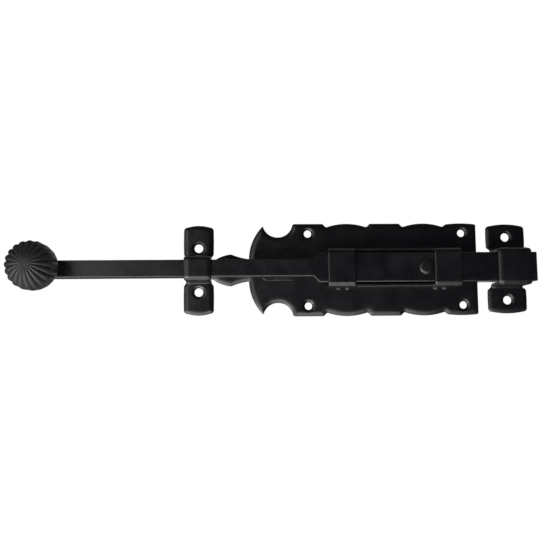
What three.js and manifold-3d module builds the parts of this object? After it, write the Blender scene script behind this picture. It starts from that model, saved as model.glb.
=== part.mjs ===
// Surface slide bolt of black coated steel, in millimetres, +Z up, in the open-standing position on a door.
// The door's face is the plane Y = 0 and the bolt stands out from it towards -Y.
// +X is the way the bolt travels to lock. The origin is on the plate's back, at the middle of its four holes.
import * as THREE from 'three';
import { mergeVertices } from 'three/addons/utils/BufferGeometryUtils.js';
import Module from 'manifold-3d';

const wasm = await Module();
wasm.setup();

// ---- Driving dimensions ----------------------------------------------------------------------------

// Bar: a square rod that widens into a flat bolt. Both are as thick as the rod's side.
const rodSide = 10;
const boltWidth = 17;
const barLift = 2; // room between plate and bar, where the leaf spring lies
const shoulderRun = 3.4; // length of the slope from rod to bolt
const shoulderLead = 5; // from the slope's wide end to the channel
const tipProud = 4.2; // the locked bolt reaches this far past the keeper
const tipRound = 0.8;

// Backplate
const plateSheet = 2;
const plateLength = 110; // the part with holes, without horns and finial
const plateHeight = 55;
const holeMarginX = 9; // from a screw hole to the plate's end
const holeMarginZ = 6;
const plateHoleRadius = 2.2;
const humpDip = 2; // depth of the dips on each side of a hump
const humpHalf = 11.8; // half the length of a hump
const humpStep = 2.3; // length of the slope beside a dip
const humpCentre = 22.9; // from the middle of the plate
const notchRadius = 8.9; // round notch between corner and horn
const hornWidth = 26; // from the corner to the plate's left end
const neckHalf = 6.6; // half height where finial meets plate
const finialHalf = 9.5;
const finialRise = 10.6; // from the neck to the finial's widest place
const finialPoint = 15.5; // from there to its point
const tipTuck = 4.35; // the finial's point reaches this far under the guide strap

// Guide channel
const channelSheet = 1.5;
const bridgeLength = 15.9;
const windowLength = 45.7;
const channelOffset = 3.3; // channel's middle from the plate's middle
const sideClearance = 1.2;
const frontClearance = 0.5;
const bendRadius = 3; // outer radius of a bend in the channel

// Guide strap and keeper, both bent from strip with hammered ears
const strapSheet = 2;
const strapBand = 15.5;
const strapEarWidth = 17.8;
const strapEarEnd = 26.6; // from the bolt's axis
const strapHolePitch = 26;
const strapHoleRadius = 2.55;
const strapClearance = 0.3;
const keeperSheet = 2;
const keeperBand = 19.4;
const keeperEarWidth = 23.2;
const keeperEarEnd = 26.7;
const keeperHolePitch = 37.7;
const keeperHoleRadius = 2.55;
const keeperClearance = 0.5;
const keeperFrontClearance = 1.5;
const keeperGap = 5.9; // from the plate's edge to the keeper's ears
const earBulge = 1; // how far an ear's end is crowned
const earRound = 2.4;
const stripBendRadius = 3; // outer radius of a bend in the strip
const footRadius = 0.9; // inner radius where a leg turns into an ear

// Stop rivet, leaf spring and welds
const rivetHeadRadius = 4.4;
const rivetHeadHeight = 1.8;
const rivetShankRadius = 2.3;
const stopGap = 0.3; // left between rivet and bridge at each end of the travel
const springSheet = 0.7;
const springWidth = 13;
const springLength = 21.5;
const springTipWidth = 7;
const springTipTaper = 4;
const springFoot = 7; // flat end that is riveted down
const springCrestFromEnd = 4.5;
const springRivetRadius = 1.5;
const springRivetHeadRadius = 2.8;
const springRivetHeadHeight = 0.8;
const springInset = 6; // from the plate's left end to the spring
const weldLength = 3.4;
const weldRadius = 1.3;
const weldSpacing = 5.2;
const weldShift = 2; // both pairs stand nearer the window

// Knob
const knobRadius = 13.6;
const knobHeight = 26;
const knobFlutes = 20;
const fluteDepth = 1.15;
const knobFrontSquareness = 2.3; // exponents of the profile, 2 is a ball
const knobBackSquareness = 3.6;
const collarLength = 5.5;
const collarRadius = 5.6;
const collarWaist = 4.2;
const studRadius = 3;
const studHeadRadius = 4.4;
const studHeadHeight = 1.3;
const studReach = 9; // how far the stud goes into the knob
const knobDistance = 89.2; // from guide strap to knob
const rodBeyondKnob = 7;

// Fits
const seatGap = 0.05; // between two flat faces that rest on each other
const holeClearance = 0.3; // round a rivet or stud

// ---- Places worked out from them -------------------------------------------------------------------

const axisZ = 0;
const plateFront = plateSheet;
const barBack = plateFront + barLift;
const barFront = barBack + rodSide;
const plateRight = plateLength / 2;
const plateLeft = -plateLength / 2;
const hornLeft = plateLeft - hornWidth;
const channelLength = 2 * bridgeLength + windowLength;
const channelLeft = channelOffset - channelLength / 2;
const channelRight = channelOffset + channelLength / 2;
const windowLeft = channelLeft + bridgeLength;
const windowRight = channelRight - bridgeLength;
const channelInnerHalf = boltWidth / 2 + sideClearance;
const channelOuterHalf = channelInnerHalf + channelSheet;
const channelFront = barFront + frontClearance + channelSheet;
const rivetX = windowRight - stopGap - rivetHeadRadius;
const shoulderRight = channelLeft - shoulderLead;
const shoulderLeft = shoulderRight - shoulderRun;
const strapInnerHalf = rodSide / 2 + strapClearance;
const finialPeak = hornLeft - finialRise;
const finialTip = finialPeak - finialPoint;
const strapX = finialTip + tipTuck - strapBand / 2;
const keeperX = plateRight + keeperGap + keeperEarWidth / 2;
const keeperInnerHalf = boltWidth / 2 + keeperClearance;
const boltTip = keeperX + keeperBand / 2 + tipProud;
const knobX = strapX - knobDistance;
const rodEnd = knobX - rodBeyondKnob;
const knobBack = barFront + collarLength;

const holeSegments = 32;
const cutLong = 200; // longer than anything it cuts

// ---- Looks -----------------------------------------------------------------------------------------

const coatedSheet = { color: 0x17171a, roughness: 0.42, metalness: 0.3 };
const coatedBar = { color: 0x1b1b1f, roughness: 0.36, metalness: 0.3 };
const coatedCasting = { color: 0x232326, roughness: 0.55, metalness: 0.25 };
const coatedRivet = { color: 0x18181b, roughness: 0.45, metalness: 0.3 };
const blackSpring = { color: 0x1d1d22, roughness: 0.3, metalness: 0.6 };

// ---- Solids ----------------------------------------------------------------------------------------

function toSolid(geometry) {
  const bare = geometry.index ? geometry.toNonIndexed() : geometry.clone();
  for (const name of Object.keys(bare.attributes)) {
    if (name !== 'position') bare.deleteAttribute(name);
  }
  const merged = mergeVertices(bare, 1e-4);
  return new wasm.Manifold(new wasm.Mesh({
    numProp: 3,
    vertProperties: new Float32Array(merged.attributes.position.array),
    triVerts: new Uint32Array(merged.index.array),
  }));
}

function toGeometry(solid) {
  const mesh = solid.getMesh();
  const geometry = new THREE.BufferGeometry();
  geometry.setAttribute('position', new THREE.BufferAttribute(mesh.vertProperties, 3));
  geometry.setIndex(new THREE.BufferAttribute(mesh.triVerts, 1));
  geometry.computeVertexNormals();
  return geometry;
}

const object = new THREE.Group();

function addNode(name, solid, look) {
  const mesh = new THREE.Mesh(toGeometry(solid), new THREE.MeshStandardMaterial(look));
  mesh.name = name;
  object.add(mesh);
}

// Extrudes an outline drawn in (X, Z) from depth low to depth high, both measured out from the door.
function frontPrism(shape, low, high, curveSegments = 12) {
  const geometry = new THREE.ExtrudeGeometry(shape, { depth: high - low, bevelEnabled: false, curveSegments });
  geometry.rotateX(Math.PI / 2);
  geometry.translate(0, -low, 0);
  return toSolid(geometry);
}

// Extrudes a section drawn in (Z, depth out from the door) from X = low to X = high.
function sidePrism(shape, low, high, curveSegments = 8) {
  const geometry = new THREE.ExtrudeGeometry(shape, { depth: high - low, bevelEnabled: false, curveSegments });
  geometry.applyMatrix4(new THREE.Matrix4().makeBasis(
    new THREE.Vector3(0, 0, 1),
    new THREE.Vector3(0, -1, 0),
    new THREE.Vector3(1, 0, 0),
  ));
  geometry.translate(low, 0, 0);
  return toSolid(geometry);
}

// Turns a profile of (radius, depth) about an axis that stands out from the door at (x, z).
function turned(profile, x, z, segments = 40, shapeRadius = null) {
  const points = profile.map(([radius, depth]) => new THREE.Vector2(radius, depth));
  const geometry = new THREE.LatheGeometry(points, segments);
  if (shapeRadius) shapeRadius(geometry.attributes.position);
  geometry.rotateX(Math.PI);
  geometry.translate(x, 0, z);
  return toSolid(geometry);
}

function roundHole(x, z, radius) {
  const geometry = new THREE.CylinderGeometry(radius, radius, cutLong, holeSegments);
  geometry.translate(x, 0, z);
  return toSolid(geometry);
}

function box(x0, x1, low, high, z0, z1) {
  const geometry = new THREE.BoxGeometry(x1 - x0, high - low, z1 - z0);
  geometry.translate((x0 + x1) / 2, -(low + high) / 2, (z0 + z1) / 2);
  return toSolid(geometry);
}

// Points on the circular arc from the outline's last point through the middle point to the end point.
function arcThrough(points, middle, end, steps = 10) {
  const start = points[points.length - 1];
  const [ax, ay] = start;
  const [bx, by] = middle;
  const [cx, cy] = end;
  const d = 2 * (ax * (by - cy) + bx * (cy - ay) + cx * (ay - by));
  const sa = ax * ax + ay * ay;
  const sb = bx * bx + by * by;
  const sc = cx * cx + cy * cy;
  const ux = (sa * (by - cy) + sb * (cy - ay) + sc * (ay - by)) / d;
  const uy = (sa * (cx - bx) + sb * (ax - cx) + sc * (bx - ax)) / d;
  const radius = Math.hypot(ax - ux, ay - uy);
  const from = Math.atan2(ay - uy, ax - ux);
  const turn = (angle) => {
    const full = 2 * Math.PI;
    return ((angle - from) % full + full) % full;
  };
  const viaEnd = turn(Math.atan2(cy - uy, cx - ux));
  const viaMiddle = turn(Math.atan2(by - uy, bx - ux));
  const sweep = viaMiddle < viaEnd ? viaEnd : viaEnd - 2 * Math.PI;
  for (let i = 1; i < steps; i += 1) {
    const angle = from + sweep * i / steps;
    points.push([ux + radius * Math.cos(angle), uy + radius * Math.sin(angle)]);
  }
  points.push(end);
}

// Closes an upper half outline, which runs from right to left, with its mirror image below the axis.
function mirroredShape(upper) {
  const lower = upper.filter(([, z]) => Math.abs(z) > 1e-6).map(([x, z]) => [x, -z]).reverse();
  return new THREE.Shape([...upper, ...lower].map(([x, z]) => new THREE.Vector2(x, z)));
}

// ---- Backplate -------------------------------------------------------------------------------------

function plateOutline() {
  const top = plateHeight / 2;
  const crown = 0.5; // the end lobes are a little crowned
  const low = top - humpDip;
  const inner = humpCentre - humpHalf;
  const outer = humpCentre + humpHalf;
  const lobe = outer + humpStep;
  const upper = [[plateRight, top - 1.2]];
  upper.push([plateRight - 0.8, top - crown]);
  arcThrough(upper, [(plateRight + lobe) / 2, top], [lobe, top - crown], 6);
  upper.push([outer + humpStep * 0.4, low + humpDip * 0.25]);
  upper.push([outer, low]);
  arcThrough(upper, [humpCentre, top], [inner, low], 10);
  upper.push([inner - humpStep * 0.4, low + humpDip * 0.25]);
  upper.push([inner - humpStep, top]);
  upper.push([humpStep - inner, top]);
  upper.push([humpStep * 0.4 - inner, low + humpDip * 0.25]);
  upper.push([-inner, low]);
  arcThrough(upper, [-humpCentre, top], [-outer, low], 10);
  upper.push([-outer - humpStep * 0.4, low + humpDip * 0.25]);
  upper.push([-lobe, top]);
  upper.push([plateLeft + 0.8, top]);
  upper.push([plateLeft, top - 0.6]);

  // Round notch up to the horn's point, then the bowed end down to the neck
  const hornTip = [plateLeft - 2 * notchRadius + 0.2, top - 1.2];
  const notchFloor = [plateLeft - notchRadius, top - 0.9 * notchRadius];
  arcThrough(upper, notchFloor, hornTip, 14);
  const hornBow = [hornLeft + 2.1, top * 0.61];
  arcThrough(upper, hornBow, [hornLeft, neckHalf], 10);

  // Finial: a hollow side up to its widest place, then a bowed side that slips into the guide strap
  const peak = [finialPeak, finialHalf];
  arcThrough(upper, [(hornLeft + finialPeak) / 2, (neckHalf + finialHalf) / 2 - 0.35], peak, 5);
  const tuckStart = finialTip + tipTuck;
  const tuckHalf = strapInnerHalf - strapClearance;
  const bow = 0.9;
  arcThrough(upper, [(finialPeak + tuckStart) / 2, (finialHalf + tuckHalf) / 2 + bow], [tuckStart, tuckHalf], 6);
  upper.push([finialTip, 0]);
  return upper;
}

function backplate() {
  let solid = frontPrism(mirroredShape(plateOutline()), 0, plateSheet);
  for (const x of [plateLeft + holeMarginX, plateRight - holeMarginX]) {
    for (const z of [holeMarginZ - plateHeight / 2, plateHeight / 2 - holeMarginZ]) {
      solid = solid.subtract(roundHole(x, z, plateHoleRadius));
    }
  }
  return solid.subtract(roundHole(springRivetX, axisZ, springRivetRadius + holeClearance));
}

// ---- Guide channel ---------------------------------------------------------------------------------

function channelSection() {
  const foot = plateFront + seatGap;
  const innerFront = channelFront - channelSheet;
  const innerBend = Math.max(bendRadius - channelSheet, 0.2);
  const shape = new THREE.Shape();
  shape.moveTo(channelOuterHalf, foot);
  shape.lineTo(channelOuterHalf, channelFront - bendRadius);
  shape.absarc(channelOuterHalf - bendRadius, channelFront - bendRadius, bendRadius, 0, Math.PI / 2);
  shape.lineTo(bendRadius - channelOuterHalf, channelFront);
  shape.absarc(bendRadius - channelOuterHalf, channelFront - bendRadius, bendRadius, Math.PI / 2, Math.PI);
  shape.lineTo(-channelOuterHalf, foot);
  shape.lineTo(-channelInnerHalf, foot);
  shape.lineTo(-channelInnerHalf, innerFront - innerBend);
  shape.absarc(innerBend - channelInnerHalf, innerFront - innerBend, innerBend, Math.PI, Math.PI / 2, true);
  shape.lineTo(channelInnerHalf - innerBend, innerFront);
  shape.absarc(channelInnerHalf - innerBend, innerFront - innerBend, innerBend, Math.PI / 2, 0, true);
  shape.lineTo(channelInnerHalf, foot);
  shape.closePath();
  return shape;
}

function guideChannel() {
  const body = sidePrism(channelSection(), channelLeft, channelRight, 6);
  const railTop = channelFront - bendRadius;
  const window = box(windowLeft, windowRight, railTop, cutLong, -channelOuterHalf - 1, channelOuterHalf + 1);
  const openWeb = box(windowLeft, windowRight, plateFront, cutLong, -channelInnerHalf, channelInnerHalf);
  return body.subtract(window).subtract(openWeb);
}

// ---- Guide strap and keeper ------------------------------------------------------------------------

// Hat section in (Z, depth): two ears on the door, two legs and a bridge. half is the inner half width.
function hatSection(half, innerFront, sheet, earEnd) {
  const leg = half + sheet;
  const front = innerFront + sheet;
  const innerBend = stripBendRadius - sheet;
  const footCentre = leg + footRadius;
  const footTop = sheet + footRadius;
  const underRadius = footRadius + sheet;
  const shape = new THREE.Shape();
  shape.moveTo(earEnd, 0);
  shape.lineTo(earEnd, sheet);
  shape.lineTo(footCentre, sheet);
  shape.absarc(footCentre, footTop, footRadius, -Math.PI / 2, -Math.PI, true);
  shape.lineTo(leg, front - stripBendRadius);
  shape.absarc(leg - stripBendRadius, front - stripBendRadius, stripBendRadius, 0, Math.PI / 2);
  shape.lineTo(stripBendRadius - leg, front);
  shape.absarc(stripBendRadius - leg, front - stripBendRadius, stripBendRadius, Math.PI / 2, Math.PI);
  shape.lineTo(-leg, footTop);
  shape.absarc(-footCentre, footTop, footRadius, 0, -Math.PI / 2, true);
  shape.lineTo(-earEnd, sheet);
  shape.lineTo(-earEnd, 0);
  shape.lineTo(-footCentre, 0);
  shape.absarc(-footCentre, footTop, underRadius, -Math.PI / 2, 0);
  shape.lineTo(-half, innerFront - innerBend);
  shape.absarc(innerBend - half, innerFront - innerBend, innerBend, Math.PI, Math.PI / 2, true);
  shape.lineTo(half - innerBend, innerFront);
  shape.absarc(half - innerBend, innerFront - innerBend, innerBend, Math.PI / 2, 0, true);
  shape.lineTo(half, footTop);
  shape.absarc(footCentre, footTop, underRadius, Math.PI, Math.PI * 1.5);
  shape.closePath();
  return shape;
}

// Front outline of such a piece about its own middle: wide crowned ears and a narrower band between them.
function stripOutline(band, earWidth, earEnd, earStart) {
  const ear = earWidth / 2;
  const upper = [[band / 2, 0]];
  upper.push([band / 2, earStart - 0.8]);
  upper.push([ear - 0.5, earStart]);
  upper.push([ear, earStart + 0.6]);
  const corner = earEnd - earBulge - earRound;
  upper.push([ear, corner]);
  arcThrough(upper, [ear - earRound * 0.29, corner + earRound * 0.71], [ear - earRound, corner + earRound], 5);
  arcThrough(upper, [0, earEnd], [earRound - ear, corner + earRound], 8);
  arcThrough(upper, [earRound * 0.29 - ear, corner + earRound * 0.71], [-ear, corner], 5);
  upper.push([-ear, earStart + 0.6]);
  upper.push([0.5 - ear, earStart]);
  upper.push([-band / 2, earStart - 0.8]);
  upper.push([-band / 2, 0]);
  return mirroredShape(upper);
}

function bentStrip(x, half, innerFront, sheet, sizes) {
  const reach = sizes.earWidth;
  const earStart = half + sheet + footRadius + 0.6;
  const section = sidePrism(hatSection(half, innerFront, sheet, sizes.earEnd), x - reach, x + reach);
  const outline = frontPrism(stripOutline(sizes.band, sizes.earWidth, sizes.earEnd, earStart), -1, cutLong);
  let solid = section.intersect(outline.translate([x, 0, 0]));
  for (const z of [-sizes.holePitch / 2, sizes.holePitch / 2]) {
    solid = solid.subtract(roundHole(x, z, sizes.holeRadius));
  }
  return solid;
}

function guideStrap() {
  return bentStrip(strapX, strapInnerHalf, barFront + frontClearance, strapSheet, {
    band: strapBand,
    earWidth: strapEarWidth,
    earEnd: strapEarEnd,
    holePitch: strapHolePitch,
    holeRadius: strapHoleRadius,
  });
}

function keeper() {
  return bentStrip(keeperX, keeperInnerHalf, barFront + keeperFrontClearance, keeperSheet, {
    band: keeperBand,
    earWidth: keeperEarWidth,
    earEnd: keeperEarEnd,
    holePitch: keeperHolePitch,
    holeRadius: keeperHoleRadius,
  });
}

// ---- Bolt bar, rivets and spring -------------------------------------------------------------------

function boltBar() {
  const rod = rodSide / 2;
  const bolt = boltWidth / 2;
  const upper = [
    [boltTip, bolt - tipRound],
    [boltTip - tipRound, bolt],
    [shoulderRight, bolt],
    [shoulderLeft, rod],
    [rodEnd + tipRound, rod],
    [rodEnd, rod - tipRound],
  ];
  return frontPrism(mirroredShape(upper), barBack, barFront)
    .subtract(roundHole(rivetX, axisZ, rivetShankRadius + holeClearance))
    .subtract(roundHole(knobX, axisZ, studRadius + holeClearance));
}

// Profile of a rivet or stud: a flat-bottomed domed head on a plain shank. Depths grow away from the door.
function domedProfile(shankRadius, shankBack, seat, headRadius, headHeight, steps = 6) {
  const profile = [[0, shankBack], [shankRadius, shankBack], [shankRadius, seat], [headRadius, seat]];
  for (let i = 1; i < steps; i += 1) {
    const angle = Math.PI / 2 * i / steps;
    profile.push([headRadius * Math.cos(angle), seat + headHeight * Math.sin(angle)]);
  }
  profile.push([0, seat + headHeight]);
  return profile;
}

function stopRivet() {
  const seat = barFront + seatGap;
  return turned(domedProfile(rivetShankRadius, barBack, seat, rivetHeadRadius, rivetHeadHeight), rivetX, axisZ);
}

// Bowed strip in (X, depth): a riveted foot on the plate at the left, then a bow whose crest meets the bar
const springLeft = hornLeft + springInset;
const springRight = springLeft + springLength;
const springRivetX = springLeft + springFoot * 0.55;
const springCrest = barBack - 0.15;

function leafSpring() {
  const rest = plateFront + seatGap;
  const crestX = springRight - springCrestFromEnd;
  const rise = springCrest - springSheet - rest;
  const under = [[springLeft + springFoot, rest]];
  arcThrough(under, [crestX, rest + rise], [springRight, rest + rise * 0.8], 16);
  const over = under.map(([x, depth]) => [x, depth + springSheet]).reverse();
  const section = [[springLeft, rest], ...under, ...over, [springLeft, rest + springSheet]];
  const shape = new THREE.Shape(section.map(([x, depth]) => new THREE.Vector2(x, -depth)));
  const geometry = new THREE.ExtrudeGeometry(shape, { depth: springWidth, bevelEnabled: false });
  geometry.translate(0, 0, -springWidth / 2);
  const strip = toSolid(geometry);

  const side = springWidth / 2;
  const outline = mirroredShape([
    [springRight, side - 1],
    [springRight - 1, side],
    [springLeft + springTipTaper, side],
    [springLeft, springTipWidth / 2],
  ]);
  return strip
    .intersect(frontPrism(outline, 0, cutLong))
    .subtract(roundHole(springRivetX, axisZ, springRivetRadius + holeClearance));
}

function springRivet() {
  const seat = plateFront + springSheet + 2 * seatGap;
  const profile = domedProfile(springRivetRadius, 0, seat, springRivetHeadRadius, springRivetHeadHeight, 4);
  return turned(profile, springRivetX, axisZ, 28);
}

// A fillet weld between the channel's wall and the plate, as a quarter round bar with tapered ends
function weldBead(x, side) {
  const wall = channelOuterHalf + seatGap;
  const foot = plateFront + seatGap;
  const geometry = new THREE.SphereGeometry(1, 20, 14);
  geometry.scale(weldLength / 2, weldRadius, weldRadius);
  geometry.translate(x, -foot, side * wall);
  const reach = 2 * weldRadius;
  const z0 = side > 0 ? wall : -wall - reach;
  return toSolid(geometry).intersect(box(x - weldLength, x + weldLength, foot, foot + reach, z0, z0 + reach));
}

// ---- Knob ------------------------------------------------------------------------------------------

// The ball is fuller behind its waist than in front, and cut flat where it sits on the collar
function knobProfile() {
  const steps = 18;
  const frontPower = 2 / knobFrontSquareness;
  const backPower = 2 / knobBackSquareness;
  const backAngle = Math.asin((collarRadius / knobRadius) ** (1 / backPower));
  const backReach = Math.cos(backAngle) ** backPower;
  const half = knobHeight / (1 + backReach);
  const profile = [[0, 0]];
  for (let i = 0; i < steps; i += 1) {
    const angle = backAngle + (Math.PI - backAngle) * i / steps;
    const cosine = Math.cos(angle);
    const power = cosine > 0 ? backPower : frontPower;
    const radius = knobRadius * Math.sin(angle) ** power;
    const depth = half * (backReach - Math.sign(cosine) * Math.abs(cosine) ** power);
    profile.push([radius, depth]);
  }
  profile.push([0, knobHeight]);
  return profile;
}

// Presses round grooves into the turned ball: full from the front to its waist, fading out behind it
function fluteKnob(position) {
  const half = knobHeight / 2;
  for (let i = 0; i < position.count; i += 1) {
    const x = position.getX(i);
    const depth = position.getY(i);
    const z = position.getZ(i);
    const radius = Math.hypot(x, z);
    if (radius < 1e-6) continue;
    const wave = Math.abs(Math.cos(Math.atan2(z, x) * knobFlutes / 2));
    const front = THREE.MathUtils.smoothstep(depth, 0.35 * half, 0.95 * half);
    const groove = fluteDepth * (1 - wave) * front * Math.min(1, radius / (0.35 * knobRadius));
    const scale = (radius - groove) / radius;
    position.setX(i, x * scale);
    position.setZ(i, z * scale);
  }
}

function knob() {
  const seat = knobBack + seatGap;
  const ball = turned(knobProfile(), 0, 0, knobFlutes * 6, fluteKnob).translate([knobX, -seat, axisZ]);
  const bore = studRadius + holeClearance;
  const socket = turned([[0, 0], [bore, 0], [bore, seat + studReach + holeClearance], [0, seat + studReach
    + holeClearance]], knobX, axisZ, holeSegments);
  return ball.subtract(socket);
}

function knobCollar() {
  const back = barFront + seatGap;
  const bore = studRadius + holeClearance;
  const length = knobBack - back;
  const profile = [
    [bore, back],
    [collarRadius - 0.6, back],
    [collarRadius - 0.6, back + 0.25 * length],
    [collarWaist, back + 0.45 * length],
    [collarWaist, back + 0.65 * length],
    [collarRadius, back + 0.9 * length],
    [collarRadius, knobBack],
    [bore, knobBack],
    [bore, back],
  ];
  return turned(profile, knobX, axisZ, holeSegments);
}

function knobStud() {
  const seat = barBack - seatGap;
  const steps = 5;
  const profile = [[0, seat - studHeadHeight]];
  for (let i = 1; i <= steps; i += 1) {
    const angle = Math.PI / 2 * i / steps;
    profile.push([studHeadRadius * Math.sin(angle), seat - studHeadHeight * Math.cos(angle)]);
  }
  profile.push([studRadius, seat], [studRadius, knobBack + studReach], [0, knobBack + studReach]);
  return turned(profile, knobX, axisZ, holeSegments);
}

// ---- Assembly --------------------------------------------------------------------------------------

addNode('backplate', backplate(), coatedSheet);
addNode('guide_channel', guideChannel(), coatedSheet);
addNode('bolt_bar', boltBar(), coatedBar);
addNode('stop_rivet', stopRivet(), coatedRivet);
addNode('leaf_spring', leafSpring(), blackSpring);
addNode('spring_rivet', springRivet(), coatedRivet);
addNode('guide_strap', guideStrap(), coatedSheet);
addNode('keeper', keeper(), coatedSheet);
addNode('knob', knob(), coatedCasting);
addNode('knob_collar', knobCollar(), coatedCasting);
addNode('knob_stud', knobStud(), coatedRivet);

const bridges = [
  ['left', channelLeft + bridgeLength / 2 + weldShift],
  ['right', channelRight - bridgeLength / 2 - weldShift],
];
for (const [end, middle] of bridges) {
  for (const [row, side] of [['upper', 1], ['lower', -1]]) {
    addNode(`weld_${row}_${end}_outer`, weldBead(middle - weldSpacing / 2, side), coatedRivet);
    addNode(`weld_${row}_${end}_inner`, weldBead(middle + weldSpacing / 2, side), coatedRivet);
  }
}

export default object;
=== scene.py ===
"""Looks of a black coated slide bolt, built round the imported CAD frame. Lengths are in metres."""
import math

import bmesh
import bpy
import numpy as np
from mathutils import Matrix, Vector
from mathutils.geometry import delaunay_2d_cdt


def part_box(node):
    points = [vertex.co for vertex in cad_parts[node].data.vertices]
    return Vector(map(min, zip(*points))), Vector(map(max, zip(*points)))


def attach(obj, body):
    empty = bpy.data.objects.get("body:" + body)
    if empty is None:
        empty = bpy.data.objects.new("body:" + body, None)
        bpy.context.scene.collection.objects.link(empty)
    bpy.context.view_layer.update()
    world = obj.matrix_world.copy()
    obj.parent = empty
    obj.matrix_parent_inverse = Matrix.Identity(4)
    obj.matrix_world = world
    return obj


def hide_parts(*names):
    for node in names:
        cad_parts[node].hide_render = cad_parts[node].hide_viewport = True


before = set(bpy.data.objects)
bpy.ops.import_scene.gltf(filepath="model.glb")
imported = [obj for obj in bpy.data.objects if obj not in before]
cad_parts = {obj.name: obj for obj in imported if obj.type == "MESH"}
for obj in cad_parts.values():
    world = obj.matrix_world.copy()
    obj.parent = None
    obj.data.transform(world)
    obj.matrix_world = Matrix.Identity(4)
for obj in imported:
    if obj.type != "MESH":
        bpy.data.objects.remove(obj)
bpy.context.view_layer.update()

MM = 0.001
QUARTER = math.pi / 2
FIXED = "fixed_parts"
SLIDING = "sliding_bolt"


# ---- Outlines -----------------------------------------------------------------------------------------

def arc_through(start, middle, end, steps):
    """Points on the circle through three points, from after start up to end."""
    (ax, ay), (bx, by), (cx, cy) = start, middle, end
    d = 2 * (ax * (by - cy) + bx * (cy - ay) + cx * (ay - by))
    sa, sb, sc = ax * ax + ay * ay, bx * bx + by * by, cx * cx + cy * cy
    ux = (sa * (by - cy) + sb * (cy - ay) + sc * (ay - by)) / d
    uy = (sa * (cx - bx) + sb * (ax - cx) + sc * (bx - ax)) / d
    radius = math.hypot(ax - ux, ay - uy)
    first = math.atan2(ay - uy, ax - ux)
    to_end = (math.atan2(cy - uy, cx - ux) - first) % math.tau
    to_middle = (math.atan2(by - uy, bx - ux) - first) % math.tau
    sweep = to_end if to_middle < to_end else to_end - math.tau
    angles = [first + sweep * (i + 1) / steps for i in range(steps)]
    return [(ux + radius * math.cos(a), uy + radius * math.sin(a)) for a in angles]


def circle(x, y, radius, count=48):
    """A closed loop of count points round a centre."""
    angles = [math.tau * i / count for i in range(count)]
    return [(x + radius * math.cos(a), y + radius * math.sin(a)) for a in angles]


def rectangle(half_u, half_v):
    """A closed loop of the four corners of a rectangle about the middle."""
    return [(half_u, -half_v), (half_u, half_v), (-half_u, half_v), (-half_u, -half_v)]


def resample(loop, step):
    """The same closed loop with no edge longer than step."""
    made = []
    for (ax, ay), (bx, by) in zip(loop, loop[1:] + loop[:1]):
        pieces = max(1, math.ceil(math.hypot(bx - ax, by - ay) / step))
        made += [(ax + (bx - ax) * i / pieces, ay + (by - ay) * i / pieces) for i in range(pieces)]
    return made


def curve_past(before, corner, after, reach, steps):
    """Points of the curve that replaces a corner, reaching that far along both its sides."""
    p, c, n = Vector(before), Vector(corner), Vector(after)
    most = 0.45  # share of a side that one corner may take, so that two corners never meet
    start = c + (p - c).normalized() * min(reach, (p - c).length * most)
    end = c + (n - c).normalized() * min(reach, (n - c).length * most)
    points = []
    for k in range(steps + 1):
        t = k / steps
        points.append(tuple(start * (1 - t) ** 2 + c * 2 * t * (1 - t) + end * t ** 2))
    return points


SHARP_TURN = math.radians(20)


def rounded_corners(loop, radius, steps=5):
    """Rounds every corner of a closed loop that turns by more than SHARP_TURN."""
    made = []
    count = len(loop)
    for i, corner in enumerate(loop):
        before, after = loop[i - 1], loop[(i + 1) % count]
        p, c, n = Vector(before), Vector(corner), Vector(after)
        turn = math.pi - (p - c).angle(n - c)
        if turn < SHARP_TURN:
            made.append(corner)
        else:
            made += curve_past(before, corner, after, radius * math.tan(turn / 2), steps)
    return made


def rounded_profile(corners, radius, steps=5):
    """An open profile with every corner but its two ends rounded."""
    made = [corners[0]]
    for before, corner, after in zip(corners, corners[1:], corners[2:]):
        made += curve_past(before, corner, after, radius, steps)
    return made + [corners[-1]]


def inside(points, loop):
    """Which of the points lie inside a closed loop."""
    x, y = points[:, 0], points[:, 1]
    result = np.zeros(len(points), bool)
    for (ax, ay), (bx, by) in zip(loop, loop[1:] + loop[:1]):
        if ay == by:
            continue
        crosses = (ay > y) != (by > y)
        result ^= crosses & (x < (bx - ax) * (y - ay) / (by - ay) + ax)
    return result


def distance_to(points, loop):
    """Distance of each point from a closed loop."""
    a = np.array(loop)
    edge = np.roll(a, -1, axis=0) - a
    length2 = (edge ** 2).sum(1)
    nearest = np.empty(len(points))
    chunk = 2000
    for first in range(0, len(points), chunk):
        part = points[first:first + chunk]
        offset = part[:, None] - a[None]
        t = np.clip((offset * edge).sum(2) / length2, 0, 1)
        gap = offset - t[..., None] * edge
        nearest[first:first + chunk] = np.sqrt((gap ** 2).sum(2).min(1))
    return nearest


# ---- Meshes -------------------------------------------------------------------------------------------

def new_piece(name, vertices, faces, body, slot, *nodes, smooth_under=38):
    """A closed mesh object that rides on a body, takes a slot's finish and stands for the CAD nodes."""
    mesh = bpy.data.meshes.new(name)
    mesh.from_pydata([tuple(v) for v in vertices], [], [tuple(int(i) for i in f) for f in faces])
    tidy = bmesh.new()
    tidy.from_mesh(mesh)
    bmesh.ops.recalc_face_normals(tidy, faces=tidy.faces)
    tidy.to_mesh(mesh)
    tidy.free()
    mesh.polygons.foreach_set("use_smooth", [True] * len(mesh.polygons))
    mesh.set_sharp_from_angle(angle=math.radians(smooth_under))
    mesh.materials.append(finishes[slot])
    piece = bpy.data.objects.new(name, mesh)
    bpy.context.collection.objects.link(piece)
    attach(piece, body)
    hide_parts(*nodes)
    return piece


def unevenness(u, v, amount, length):
    """A gentle hand-worked waviness, always at or below zero: two waves of unlike, arbitrary rhythm."""
    a = math.sin(u / length * 2.1 + 1.3) * math.cos(v / length * 1.7 + 0.4)
    b = math.sin(u / length * 4.7 - v / length * 3.9 + 2.0)
    return amount * (0.33 * a + 0.17 * b - 0.5)


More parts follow.
